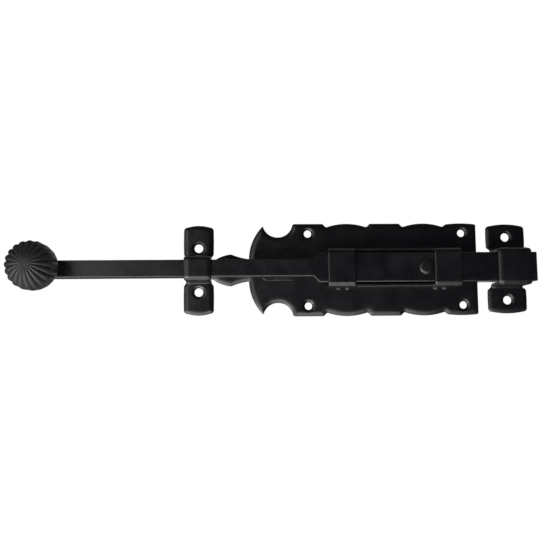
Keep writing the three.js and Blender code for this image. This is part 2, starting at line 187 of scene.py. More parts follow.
RIM_STEPS = 7
SLOPE_POWER = 1.7  # over 1, so a rim falls faster towards its edge
ROLL_SHARE, ROLL_WIDTH = 0.3, 0.16  # the last steep part of a rim, as shares of its drop and width
RING_SLACK = 0.96  # a ring's point is dropped if it lies nearer to an edge than this share of its depth
FIELD_SLACK = 0.35  # inner points keep this share of a step away from the rims
INSIDE_ONLY, MERGE_DISTANCE = 1, 1e-7
WAVE_LENGTH = 9 * MM


def over_edge(distance, width, drop):
    """How far a rim lies below the face at each distance from the edge: a slope that ends in a roll."""
    slope = np.clip(1 - distance / width, 0, 1)
    roll = np.clip(1 - distance / (ROLL_WIDTH * width), 0, 1)
    return drop * ((1 - ROLL_SHARE) * slope ** SLOPE_POWER + ROLL_SHARE * (1 - np.sqrt(1 - roll ** 2)))


def clear_of(points, outline, holes, edge_gap, hole_gap):
    """Which points lie on the sheet, at least those distances from its edge and its holes."""
    keep = inside(points, outline) & (distance_to(points, outline) > edge_gap)
    for hole in holes:
        keep &= ~inside(points, hole) & (distance_to(points, hole) > hole_gap)
    return keep


def rim_points(loop, is_hole, width):
    """Points on rings inside a loop's rounded edge, closer together where it is steeper."""
    a = np.array(loop)
    along = np.roll(a, -1, axis=0) - np.roll(a, 1, axis=0)
    normal = np.stack([-along[:, 1], along[:, 0]], 1)
    normal /= np.linalg.norm(normal, axis=1)[:, None]
    area = (a[:, 0] * np.roll(a[:, 1], -1) - a[:, 1] * np.roll(a[:, 0], -1)).sum()
    sign = -np.sign(area) if is_hole else np.sign(area)
    depths = [width * (1 - math.cos(QUARTER * k / RIM_STEPS)) for k in range(1, RIM_STEPS + 1)]
    return [(a + sign * normal * depth, depth) for depth in depths]


def sheet_mesh(outline, holes, thickness, rim, hole_rim, step, columns, rows, place, wave=0):
    """Vertices and faces of a closed sheet with a flat back and rounded front edges.

    rim and hole_rim are (width, drop) of the rounding. columns and rows are where its inner
    points lie, place maps (u, v, height) to space, and wave is how uneven the front is.
    """
    outline = resample(outline, step)
    holes = [resample(hole, step) for hole in holes]
    loops = [(outline, False, rim)] + [(hole, True, hole_rim) for hole in holes]
    points, edges = [], []
    for loop, _, _ in loops:
        base = len(points)
        points += loop
        edges += [(base + i, base + (i + 1) % len(loop)) for i in range(len(loop))]
    for loop, is_hole, (width, _) in loops:
        for ring, depth in rim_points(loop, is_hole, width):
            near = RING_SLACK * depth
            points += [tuple(p) for p in ring[clear_of(ring, outline, holes, near, near)]]
    field = np.stack(np.meshgrid(columns, rows), -1).reshape(-1, 2)
    spare = FIELD_SLACK * step
    field = field[clear_of(field, outline, holes, rim[0] + spare, hole_rim[0] + spare)]
    points += [tuple(p) for p in field]

    sites = [Vector(p) for p in points]
    flat, _, triangles, *_ = delaunay_2d_cdt(sites, edges, [], INSIDE_ONLY, MERGE_DISTANCE)
    flat = np.array([tuple(p) for p in flat])
    triangles = np.array([tuple(t) for t in triangles])
    keep = clear_of(flat[triangles].mean(1), outline, holes, 0, 0)
    triangles = triangles[keep]
    fall = over_edge(distance_to(flat, outline), *rim)
    for hole in holes:
        fall = np.maximum(fall, over_edge(distance_to(flat, hole), *hole_rim))

    count = len(flat)
    front = []
    for (u, v), drop in zip(flat, fall):
        uneven = unevenness(u, v, wave, WAVE_LENGTH) if wave else 0
        front.append(place(u, v, thickness - drop + uneven))
    back = [place(u, v, 0.0) for u, v in flat]
    faces = [tuple(t) for t in triangles] + [tuple(t[::-1] + count) for t in triangles]
    directed = {(t[i], t[(i + 1) % 3]) for t in triangles for i in range(3)}
    faces += [(j, i, i + count, j + count) for i, j in directed if (j, i) not in directed]
    return front + back, faces


def spaced(low, high, step):
    """Places from low to high, no more than step apart, without the two ends."""
    return np.linspace(low, high, max(2, math.ceil((high - low) / step)) + 1)[1:-1]


def on_door(u, v, height):
    """A flat sheet against the door: u along X, v along Z, height out from the door."""
    return (u, -height, v)


# ---- Finishes -----------------------------------------------------------------------------------------

class Nodes:
    """Short ways to add and join shader nodes."""

    def __init__(self, tree):
        self.tree = tree
        self.tree.nodes.clear()

    def add(self, kind, inputs=None, **settings):
        node = self.tree.nodes.new(kind)
        for key, value in settings.items():
            setattr(node, key, value)
        for key, value in (inputs or {}).items():
            if isinstance(value, bpy.types.NodeSocket):
                self.tree.links.new(value, node.inputs[key])
            else:
                node.inputs[key].default_value = value
        return node

    def noise(self, where, scale, detail=3, roughness=0.5):
        return self.add("ShaderNodeTexNoise", {"Vector": where, "Scale": scale, "Detail": detail,
                                               "Roughness": roughness}).outputs["Fac"]

    def span(self, value, low, high, to_low=0.0, to_high=1.0):
        """The value's range low to high stretched to another range, and held there."""
        return self.add("ShaderNodeMapRange", {"Value": value, "From Min": low, "From Max": high,
                                               "To Min": to_low, "To Max": to_high}).outputs["Result"]

    def math(self, operation, a, b):
        return self.add("ShaderNodeMath", {0: a, 1: b}, operation=operation).outputs[0]

    def mix(self, factor, a, b):
        return self.add("ShaderNodeMix", {"Factor": factor, "A": a, "B": b},
                        data_type="RGBA").outputs["Result"]


# Blender's noise scales: the larger, the finer
CLOUD_SCALE, MARKS_SCALE, PATCH_SCALE, MOTTLE_SCALE = 65, 40, 150, 420
SOFT_SCALE, FINE_SCALE, SAND_SCALE = 240, 1150, 3200
MOST = (0.3, 0.7)  # where most of a noise's values lie
PATCHY = (0.36, 0.64)  # the noise's range in which the painted edge highlight comes and goes
SMUDGED = (0.54, 0.76)  # the noise's range in which a smudge rises to its full strength
PAINTED_HIGHLIGHT_EDGES = (0.515, 0.60)  # pointiness over which convex edges take the painted highlight; it is 0.5 on a flat face
DUST, DUST_SHARE = 2.2, 0.5  # how much paler a smudge is than the coat, and how far it covers
MOTTLE_DULLING, SMUDGE_DULLING, PAINTED_HIGHLIGHT_SHINE = 0.03, 0.1, 0.06  # changes of the roughness


def coat(name, deep, pale, painted_highlight_colour, roughness, peel, smudge=0.5, metallic=0.0, specular=0.5, grain=0.0):
    """Black coating: cloudy colour and gloss, orange peel, faint smudges, and a painted highlight: paler,
    glossier convex edges in patches.

    deep, pale and painted_highlight_colour are its colours, the last the painted highlight on its convex
    edges; roughness the range it varies in, peel the heights of its fine and soft orange peel, and grain the
    height of a sandy casting's grain.
    """
    finish = bpy.data.materials.new(name)
    finish.use_nodes = True
    nodes = Nodes(finish.node_tree)
    where = nodes.add("ShaderNodeTexCoord").outputs["Object"]
    cloud = nodes.span(nodes.noise(where, CLOUD_SCALE, 4, 0.6), *MOST)
    mottle = nodes.noise(where, MOTTLE_SCALE, 3, 0.6)
    edge = nodes.add("ShaderNodeNewGeometry").outputs["Pointiness"]
    patches = nodes.span(nodes.noise(where, PATCH_SCALE, 3, 0.7), *PATCHY)
    # Painted highlight: convex edges, found by pointiness, are made paler and glossier in patches
    painted_highlight = nodes.math("MULTIPLY", nodes.span(edge, *PAINTED_HIGHLIGHT_EDGES), patches)
    marks = nodes.span(nodes.noise(where, MARKS_SCALE, 4, 0.62), *SMUDGED)
    marks = nodes.math("MULTIPLY", marks, smudge)

    dusty = tuple(DUST * c for c in pale)
    body = nodes.mix(cloud, (*deep, 1), (*pale, 1))
    body = nodes.mix(nodes.math("MULTIPLY", marks, DUST_SHARE), body, (*dusty, 1))
    colour = nodes.mix(painted_highlight, body, (*painted_highlight_colour, 1))
    gloss = nodes.span(cloud, 0, 1, *roughness)
    gloss = nodes.math("ADD", gloss, nodes.span(mottle, *MOST, -MOTTLE_DULLING, MOTTLE_DULLING))
    gloss = nodes.math("ADD", gloss, nodes.math("MULTIPLY", marks, SMUDGE_DULLING))
    gloss = nodes.math("SUBTRACT", gloss, nodes.math("MULTIPLY", painted_highlight, PAINTED_HIGHLIGHT_SHINE))

    fine = nodes.math("MULTIPLY", nodes.noise(where, FINE_SCALE, 2, 0.5), peel[0])
    soft = nodes.math("MULTIPLY", nodes.noise(where, SOFT_SCALE, 2, 0.5), peel[1])
    relief = nodes.math("ADD", fine, soft)
    if grain:
        sand = nodes.math("MULTIPLY", nodes.noise(where, SAND_SCALE, 2, 0.6), grain)
        relief = nodes.math("ADD", relief, sand)
    bump = nodes.add("ShaderNodeBump", {"Strength": 1.0, "Distance": 1.0, "Height": relief}).outputs[0]
    shader = nodes.add("ShaderNodeBsdfPrincipled", {"Base Color": colour, "Roughness": gloss, "Normal": bump,
                                                    "Metallic": metallic, "Specular IOR Level": specular})
    nodes.add("ShaderNodeOutputMaterial", {"Surface": shader.outputs[0]})
    return finish


INK = (0.0012, 0.0012, 0.0019)
SLATE = (0.0026, 0.0026, 0.0038)
# From here, the last colour on each line is the paler colour of a painted highlight on convex edges
PAINTED_EDGE_HIGHLIGHT = (0.016, 0.016, 0.017)
CAST_DEEP, CAST_PALE, CAST_PAINTED_EDGE_HIGHLIGHT = (0.0055, 0.0055, 0.0068), (0.011, 0.0107, 0.012), (0.035, 0.034, 0.034)
# The welds' paler colour is a painted glint, so the beads read as bright marks
WELD_PALE_PAINTED_GLINT, WELD_PAINTED_EDGE_HIGHLIGHT = (0.014, 0.014, 0.017), (0.06, 0.06, 0.064)
STEEL_DEEP, STEEL_PALE, STEEL_PAINTED_EDGE_HIGHLIGHT = (0.004, 0.004, 0.005), (0.012, 0.012, 0.014), (0.08, 0.08, 0.085)
SHEET_PEEL = (0.012 * MM, 0.05 * MM)
BAR_PEEL = (0.009 * MM, 0.035 * MM)
CASTING_PEEL = (0.03 * MM, 0.08 * MM)
RIVET_PEEL = (0.015 * MM, 0.06 * MM)
WELD_PEEL = (0.04 * MM, 0.12 * MM)
SPRING_PEEL = (0.008 * MM, 0.03 * MM)
CASTING_GRAIN = 0.004 * MM

finishes = {
    "coated_sheet": coat("black_coated_sheet", INK, SLATE, PAINTED_EDGE_HIGHLIGHT, (0.28, 0.37), SHEET_PEEL),
    "coated_strip": coat("black_coated_strip", INK, SLATE, PAINTED_EDGE_HIGHLIGHT, (0.27, 0.36), SHEET_PEEL, smudge=0.4),
    "coated_bar": coat("black_coated_bar", INK, SLATE, PAINTED_EDGE_HIGHLIGHT, (0.26, 0.35), BAR_PEEL, smudge=0.9),
    "coated_casting": coat("black_coated_casting", CAST_DEEP, CAST_PALE, CAST_PAINTED_EDGE_HIGHLIGHT, (0.48, 0.60),
                           CASTING_PEEL, smudge=0.6, specular=0.36, grain=CASTING_GRAIN),
    "coated_rivet": coat("black_coated_rivet", INK, SLATE, PAINTED_EDGE_HIGHLIGHT, (0.30, 0.40), RIVET_PEEL),
    # Weld finish: its paler colour is a painted glint
    "coated_weld": coat("black_coated_weld", SLATE, WELD_PALE_PAINTED_GLINT, WELD_PAINTED_EDGE_HIGHLIGHT, (0.34, 0.48), WELD_PEEL),
    "black_spring": coat("blackened_spring_steel", STEEL_DEEP, STEEL_PALE, STEEL_PAINTED_EDGE_HIGHLIGHT, (0.24, 0.32),
                         SPRING_PEEL, smudge=0.3, metallic=0.35),
}


# ---- Backplate ----------------------------------------------------------------------------------------

PLATE_RIM = (3.2 * MM, 1.3 * MM)
HOLE_RIM = (2 * MM, 1.25 * MM)
PLATE_HOLE_RADIUS = 2.2 * MM
HOLE_MARGIN_X, HOLE_MARGIN_Z = 9 * MM, 6 * MM
HUMP_DIP, HUMP_HALF, HUMP_STEP, HUMP_CENTRE = 2 * MM, 11.8 * MM, 2.3 * MM, 22.9 * MM
EASE_X, EASE_Z = 0.4, 0.25  # where a step bends, as shares of its length and of the dip
LOBE_CROWN = 0.5 * MM
CORNER_CUT, RIGHT_DROP, LEFT_DROP = 0.8 * MM, 1.2 * MM, 0.6 * MM
NOTCH_RADIUS = 8.9 * MM
NOTCH_DEPTH = 0.9  # as a share of the radius
HORN_WIDTH = 26 * MM
HORN_DROP, HORN_LEAN = 1.2 * MM, 0.2 * MM
END_BOW, END_BOW_HEIGHT = 2.1 * MM, 0.61
NECK_HALF = 6.6 * MM
FINIAL_HALF = 9.5 * MM
FINIAL_POINT = 15.5 * MM
FINIAL_HOLLOW, FINIAL_BOW = 0.35 * MM, 0.9 * MM
TIP_TUCK, TUCK_HALF = 4.35 * MM, 5 * MM
OUTLINE_ROUND = 0.6 * MM
SPRING_HOLE_RADIUS = 1.8 * MM
PLATE_STEP, PLATE_GRID, PLATE_WAVE = 0.6 * MM, 1.6 * MM, 0.12 * MM


def plate_outline():
    """The plate's edge: two humps a side, round notches, horns and a pointed finial."""
    low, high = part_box("backplate")
    right, top, tip = high.x, high.z, low.x
    left = -right
    floor = top - HUMP_DIP
    outer, inner = HUMP_CENTRE + HUMP_HALF, HUMP_CENTRE - HUMP_HALF
    lobe = outer + HUMP_STEP
    ease_x, ease_z = EASE_X * HUMP_STEP, floor + EASE_Z * HUMP_DIP
    upper = [(right, top - RIGHT_DROP), (right - CORNER_CUT, top - LOBE_CROWN)]
    upper += arc_through(upper[-1], ((right + lobe) / 2, top), (lobe, top - LOBE_CROWN), 12)
    upper += [(outer + ease_x, ease_z), (outer, floor)]
    upper += arc_through(upper[-1], (HUMP_CENTRE, top), (inner, floor), 24)
    upper += [(inner - ease_x, ease_z), (inner - HUMP_STEP, top)]
    upper += [(HUMP_STEP - inner, top), (ease_x - inner, ease_z), (-inner, floor)]
    upper += arc_through(upper[-1], (-HUMP_CENTRE, top), (-outer, floor), 24)
    upper += [(-outer - ease_x, ease_z), (-lobe, top)]
    upper += [(left + CORNER_CUT, top), (left, top - LEFT_DROP)]

    # Round notch up to the horn's point, then the bowed end down to the neck
    notch_floor = (left - NOTCH_RADIUS, top - NOTCH_DEPTH * NOTCH_RADIUS)
    horn = (left - 2 * NOTCH_RADIUS + HORN_LEAN, top - HORN_DROP)
    upper += arc_through(upper[-1], notch_floor, horn, 30)
    neck = left - HORN_WIDTH
    upper += arc_through(upper[-1], (neck + END_BOW, END_BOW_HEIGHT * top), (neck, NECK_HALF), 24)

    # Finial: a hollow side up to its widest place, then a bowed side that slips into the guide strap
    peak = tip + FINIAL_POINT
    hollow = ((neck + peak) / 2, (NECK_HALF + FINIAL_HALF) / 2 - FINIAL_HOLLOW)
    upper += arc_through(upper[-1], hollow, (peak, FINIAL_HALF), 10)
    tuck = tip + TIP_TUCK
    bow = ((peak + tuck) / 2, (FINIAL_HALF + TUCK_HALF) / 2 + FINIAL_BOW)
    upper += arc_through(upper[-1], bow, (tuck, TUCK_HALF), 12)
    lower = [(x, -z) for x, z in reversed(upper)]
    return rounded_corners(upper + [(tip, 0.0)] + lower, OUTLINE_ROUND, 3)


def make_backplate():
    """The pressed plate with its screw holes and the hole of the leaf spring's rivet."""
    low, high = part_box("backplate")
    rivet_low, rivet_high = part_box("spring_rivet")
    x, z = high.x - HOLE_MARGIN_X, high.z - HOLE_MARGIN_Z
    holes = [circle(sx * x, sz * z, PLATE_HOLE_RADIUS) for sx in (-1, 1) for sz in (-1, 1)]
    holes.append(circle((rivet_low.x + rivet_high.x) / 2, 0, SPRING_HOLE_RADIUS, 32))
    columns, rows = spaced(low.x, high.x, PLATE_GRID), spaced(low.z, high.z, PLATE_GRID)
    vertices, faces = sheet_mesh(plate_outline(), holes, high.y - low.y, PLATE_RIM, HOLE_RIM, PLATE_STEP,
                                 columns, rows, on_door, PLATE_WAVE)
    new_piece("backplate_pressed", vertices, faces, FIXED, "coated_sheet", "backplate")


# ---- Bent sheet: guide strap, keeper, guide channel and leaf spring -----------------------------------

def walker(start, sections):
    """Follows straights (length, 0) and bends (length, turn) from start, heading along the first axis."""
    def at(distance):
        a, b = start
        heading = 0.0
        for length, turn in sections:
            run = min(distance, length)
            if turn:
                rate = turn / length
                end = heading + rate * run
                a += (math.sin(end) - math.sin(heading)) / rate
                b -= (math.cos(end) - math.cos(heading)) / rate
                heading = end
            else:
                a += run * math.cos(heading)
                b += run * math.sin(heading)
            distance -= run
            if distance <= 0:
                break
        a += distance * math.cos(heading)
        b += distance * math.sin(heading)
        return a, b, heading
    return at


def folded(x0, thickness, at):
    """Maps a flat sheet onto a section that mirrors about the bolt's axis."""
    def place(u, v, height):
        z, out, heading = at(abs(v))
        offset = height - thickness / 2
        z -= math.sin(heading) * offset
        out += math.cos(heading) * offset
        return (x0 + u, -out, math.copysign(z, v))
    return place


def bend_rows(sections, end, flat_step, bend_step):
    """Rows along half a bent sheet, closer together in its bends, mirrored about the middle."""
    rows, start = [0.0], 0.0
    for length, turn in sections + [(end - sum(length for length, _ in sections), 0)]:
        count = math.ceil(length / (bend_step if turn else flat_step))
        rows += [start + length * (k + 1) / count for k in range(count)]
        start += length
    return [-row for row in reversed(rows[1:-1])] + rows[:-1]


STRIP_THICKNESS = 2 * MM
STRIP_BEND = 3 * MM
STRIP_FOOT = 0.9 * MM
STRIP_RIM = (2.8 * MM, 1.05 * MM)
STRIP_HOLE_RIM = (1.8 * MM, 1.1 * MM)
STRIP_STEP, STRIP_GRID, STRIP_BEND_GRID, STRIP_WAVE = 0.42 * MM, 0.7 * MM, 0.32 * MM, 0.07 * MM
EAR_BULGE = 1 * MM
EAR_ROUND = 2.4 * MM
EAR_LEAN = 0.1 * MM  # how far each side of an ear draws in towards its end
WAIST = 0.35 * MM  # how far the band draws in before it widens into an ear


def strip_outline(band, ear, flat_start, end):
    """The edge of a strip laid flat: ear is half an ear's width, and end is where the ear stops."""
    corner = end - EAR_BULGE - EAR_ROUND
    knuckle = EAR_ROUND * (1 - math.sqrt(0.5))
    shoulder = flat_start + 0.2 * MM
    # The band draws in, then widens through a hollow into the ear
    upper = [(band / 2, flat_start - 4 * MM), (band / 2 - WAIST, flat_start - 1.6 * MM)]
    upper += [(band / 2 - 0.2 * MM, shoulder - 0.8 * MM), (ear - 0.8 * MM, shoulder)]
    upper += [(ear - 0.15 * MM, shoulder + 0.9 * MM), (ear, (shoulder + corner) / 2)]
    upper.append((ear - EAR_LEAN, corner))
    upper += arc_through(upper[-1], (ear - knuckle, corner + EAR_ROUND - knuckle),
                         (ear - EAR_ROUND, corner + EAR_ROUND), 8)
    upper += arc_through(upper[-1], (0.0, end), (EAR_ROUND - ear, corner + EAR_ROUND), 17)
    upper = [p for p in upper if p[0] > 0]
    half = upper + [(-x, v) for x, v in reversed(upper)]
    return half + [(-x, -v) for x, v in half]


def make_strip(node, name, inner_half, band, hole_pitch, hole_radius):
    """A strip bent over the bar, with inner_half of room each side of the bar's axis."""
    low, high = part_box(node)
    front, ear_end, x0 = -low.y, high.z, (high.x + low.x) / 2
    ear = (high.x - low.x) / 2
    leg = inner_half + STRIP_THICKNESS
    bend, foot = STRIP_BEND - STRIP_THICKNESS / 2, STRIP_FOOT + STRIP_THICKNESS / 2
    drop = front - STRIP_BEND - STRIP_THICKNESS - STRIP_FOOT
    sections = [(leg - STRIP_BEND, 0), (bend * QUARTER, -QUARTER), (drop, 0), (foot * QUARTER, QUARTER)]
    flat_start = sum(length for length, _ in sections)
    shift = flat_start - (leg + STRIP_FOOT)  # turns a height on the door into a length along the strip
    end = ear_end + shift
    outline = strip_outline(band, ear, flat_start, end)
    holes = [circle(0, side * (hole_pitch / 2 + shift), hole_radius) for side in (-1, 1)]
    rows = bend_rows(sections, end, STRIP_GRID, STRIP_BEND_GRID)
    place = folded(x0, STRIP_THICKNESS, walker((0, front - STRIP_THICKNESS / 2), sections))
    vertices, faces = sheet_mesh(outline, holes, STRIP_THICKNESS, STRIP_RIM, STRIP_HOLE_RIM, STRIP_STEP,
                                 spaced(-ear, ear, STRIP_GRID), rows, place, STRIP_WAVE)
    new_piece(name, vertices, faces, FIXED, "coated_strip", node)


CHANNEL_THICKNESS = 1.5 * MM
CHANNEL_BEND = 3 * MM
CHANNEL_RIM = (0.7 * MM, 0.45 * MM)
CHANNEL_STEP, CHANNEL_GRID, CHANNEL_WAVE = 0.4 * MM, 0.9 * MM, 0.05 * MM
CHANNEL_FLAT_GRID, CHANNEL_BEND_GRID = 0.8 * MM, 0.2 * MM
BRIDGE_LENGTH = 15.9 * MM
CHANNEL_CORNER, WINDOW_CORNER = 0.4 * MM, 0.5 * MM


def make_channel():
    """One bent sheet over the bolt: two bridges with an open window between them."""
    low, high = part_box("guide_channel")
    half, front, foot = high.z, -low.y, -high.y
    x0, end = (low.x + high.x) / 2, (high.x - low.x) / 2
    bend = CHANNEL_BEND - CHANNEL_THICKNESS / 2
    sections = [(half - CHANNEL_BEND, 0), (bend * QUARTER, -QUARTER), (front - CHANNEL_BEND - foot, 0)]
    reach = sum(length for length, _ in sections)
    side = reach - sections[2][0]
    outline = rounded_corners(rectangle(end, reach), CHANNEL_CORNER, 2)
    gap = end - BRIDGE_LENGTH
    window = rounded_corners(rectangle(gap, side), WINDOW_CORNER, 3)
    rows = bend_rows(sections, reach, CHANNEL_FLAT_GRID, CHANNEL_BEND_GRID)
    place = folded(x0, CHANNEL_THICKNESS, walker((0, front - CHANNEL_THICKNESS / 2), sections))
    columns = spaced(-end, end, CHANNEL_GRID)
    vertices, faces = sheet_mesh(outline, [window], CHANNEL_THICKNESS, CHANNEL_RIM, CHANNEL_RIM,
                                 CHANNEL_STEP, columns, rows, place, CHANNEL_WAVE)
    new_piece("guide_channel_folded", vertices, faces, FIXED, "coated_sheet", "guide_channel")


SPRING_THICKNESS = 0.7 * MM
SPRING_FOOT = 7 * MM
SPRING_TIP_HALF, SPRING_TAPER = 3.5 * MM, 4 * MM
SPRING_CREST = 4.5 * MM
SPRING_RISE_POWER = 1.3  # over 1, so the blade leaves the plate gently
SPRING_DROOP = 0.2  # how far its tip drops past the crest, as a share of the rise
SPRING_CORNER, SPRING_ROUND = 1 * MM, 0.5 * MM
SPRING_RIM = (0.3 * MM, 0.2 * MM)
SPRING_STEP, SPRING_GRID_X, SPRING_GRID_Z = 0.4 * MM, 0.6 * MM, 1 * MM


def make_leaf_spring():
    """A blade that lies on the plate at its rivet and bows up to the bar."""
    low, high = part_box("leaf_spring")
    rivet_low, rivet_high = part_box("spring_rivet")
    half, rest = high.z, -high.y
    rise = -low.y - rest - SPRING_THICKNESS
    crest = high.x - SPRING_CREST
    foot = low.x + SPRING_FOOT

    def place(u, v, height):
        climb = min(max((u - foot) / (crest - foot), 0), 1)
        lift = rise * math.sin(climb * QUARTER) ** SPRING_RISE_POWER
        if u > crest:
            lift -= SPRING_DROOP * rise * ((u - crest) / SPRING_CREST) ** 2
        return (u, -(rest + lift + height), v)

    upper = [(high.x, half - SPRING_CORNER), (high.x - SPRING_CORNER, half),
             (low.x + SPRING_TAPER, half), (low.x, SPRING_TIP_HALF)]
    outline = rounded_corners(upper + [(x, -z) for x, z in reversed(upper)], SPRING_ROUND, 3)
    hole = circle((rivet_low.x + rivet_high.x) / 2, 0, SPRING_HOLE_RADIUS, 32)
    columns, rows = spaced(low.x, high.x, SPRING_GRID_X), spaced(-half, half, SPRING_GRID_Z)
    vertices, faces = sheet_mesh(outline, [hole], SPRING_THICKNESS, SPRING_RIM, SPRING_RIM, SPRING_STEP,
                                 columns, rows, place)
    new_piece("leaf_spring_bowed", vertices, faces, FIXED, "black_spring", "leaf_spring")


# ---- Bolt bar: a square rod that widens into the flat bolt -------------------------------------------

BAR_ROUND = 0.6 * MM
ROUND_STEPS = 5
LEAST_ROUND = 0.15 * MM
END_BORDER = 0.4 * MM  # flat ring round the middle of each end
CORNER_SHRINK = 0.8  # how fast a ring's corners tighten as it draws in at an end
SHOULDER_RUN = 3.4 * MM
SHOULDER_LEAD = 5 * MM
SHOULDER_EASE = 0.5 * MM
SHOULDER_STEPS = 12
LENGTH_STEPS = 60
LONG_FLAT = 2 * MM
BAR_WAVE, BAR_WAVE_LENGTH = 0.04 * MM, 11 * MM
FACE_SHARE = 0.5  # share of the waviness that the front and the back take


def bar_section(half_wide, half_deep, radius, x, middle):
    """One ring round the bar: a rectangle with rounded corners, with extra points along its flats."""
    points = []
    corners = ((1, 1), (-1, 1), (-1, -1), (1, -1))
    for quarter, (side_a, side_b) in enumerate(corners):
        for k in range(ROUND_STEPS + 1):
            angle = QUARTER * (quarter + k / ROUND_STEPS)
            points.append((side_a * (half_wide - radius) + radius * math.cos(angle),
                           side_b * (half_deep - radius) + radius * math.sin(angle)))
    ring = []
    for (a, b), (c, d) in zip(points, points[1:] + points[:1]):
        flats = 8 if math.hypot(c - a, d - b) > LONG_FLAT else 1
        ring += [(a + (c - a) * k / flats, b + (d - b) * k / flats) for k in range(flats)]
    return [(x, -(middle + b), a) for a, b in ring]


def rounded_end(x, inward, half):
    """Stations (x, half width, inset) from the middle of an end's face over its rounded edge."""
    stations = [(x, half, BAR_ROUND + END_BORDER)]
    for k in range(ROUND_STEPS + 1):
        angle = QUARTER * k / ROUND_STEPS
        along, inset = BAR_ROUND * (1 - math.cos(angle)), BAR_ROUND * (1 - math.sin(angle))
        stations.append((x + inward * along, half, inset))
    return stations


def straight(start, end, half):
    """Stations along a straight stretch, without its two ends."""
    return [(start + (end - start) * k / LENGTH_STEPS, half, 0) for k in range(1, LENGTH_STEPS)]


def make_bar():
    """Rings along the bar, joined into one skin from end to end."""
    low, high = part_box("bolt_bar")
    channel_low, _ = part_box("guide_channel")
    middle, half_deep = -(low.y + high.y) / 2, (high.y - low.y) / 2
    wide, narrow = high.z, half_deep
    ramp_end = channel_low.x - SHOULDER_LEAD + SHOULDER_EASE
    ramp_start = ramp_end - SHOULDER_RUN - 2 * SHOULDER_EASE
    stations = rounded_end(low.x, 1, narrow) + straight(low.x + BAR_ROUND, ramp_start, narrow)
    for k in range(SHOULDER_STEPS + 1):
        t = k / SHOULDER_STEPS
        blend = 3 * t * t - 2 * t ** 3
        stations.append((ramp_start + (ramp_end - ramp_start) * t, narrow + (wide - narrow) * blend, 0))
    stations += straight(ramp_end, high.x - BAR_ROUND, wide)
    stations += reversed(rounded_end(high.x, -1, wide))

    vertices, faces = [], []
    for x, half, inset in stations:
        uneven = BAR_WAVE + unevenness(x, 0, BAR_WAVE, BAR_WAVE_LENGTH)
        radius = max(BAR_ROUND - CORNER_SHRINK * inset, LEAST_ROUND)
        ring = bar_section(half - inset - uneven, half_deep - inset - FACE_SHARE * uneven, radius, x, middle)
        vertices += ring
    count = len(ring)
    for i in range(len(stations) - 1):
        for k in range(count):
            a, b = i * count + k, i * count + (k + 1) % count
            faces.append((a, a + count, b + count, b))
    last = len(vertices) - count
    faces.append(range(count))
    faces.append(range(last, last + count))
    new_piece("bolt_bar_forged", vertices, faces, SLIDING, "coated_bar", "bolt_bar", smooth_under=30)


# ---- Turned pieces ------------------------------------------------------------------------------------

def lathe(profile, x, segments=64, shaped=None, closed=False):
    """Turns a profile of (radius, depth out from the door) about an axis across the door at x.

    The profile starts and ends on the axis, or with closed it is a ring that joins its own start.
    shaped(radius, depth, angle) may change a point's radius.
    """
    rows = profile if closed else profile[1:-1]
    vertices, faces = [], []
    for radius, depth in rows:
        for k in range(segments):
            angle = math.tau * k / segments
            r = shaped(radius, depth, angle) if shaped else radius
            vertices.append((x + r * math.cos(angle), -depth, r * math.sin(angle)))
    pairs = list(zip(range(len(rows) - 1), range(1, len(rows))))
    if closed:
        pairs.append((len(rows) - 1, 0))
    for i, j in pairs:
        for k in range(segments):
            n = (k + 1) % segments
            faces.append((i * segments + k, j * segments + k, j * segments + n, i * segments + n))
    if not closed:
        first, last = len(vertices), len(vertices) + 1
        vertices += [(x, -profile[0][1], 0), (x, -profile[-1][1], 0)]
        top = (len(rows) - 1) * segments
        for k in range(segments):
            n = (k + 1) % segments
            faces += [(first, n, k), (last, top + k, top + n)]
    return vertices, faces


KNOB_FLUTES = 20
KNOB_FRONT_SQUARENESS, KNOB_BACK_SQUARENESS = 2.3, 3.6  # exponents of the profile, 2 is a ball
KNOB_STEPS, FLUTE_STEPS = 90, 16
KNOB_FOOT = 0.97  # where the ball starts on its flat back, as a share of the collar's radius
FLUTE_DEPTH = 1.15 * MM
FLUTE_POWER = 0.8
FLUTE_START, FLUTE_RUN = 0.65, 0.6  # behind the waist, as shares of the ball's half height
FLUTE_EYE = 0.35  # the flutes fade out inside this share of the radius
KNOB_SEAT = 0.05 * MM
STUD_RADIUS = 3 * MM
STUD_REACH = 9 * MM
BORE_SPARE = 0.3 * MM


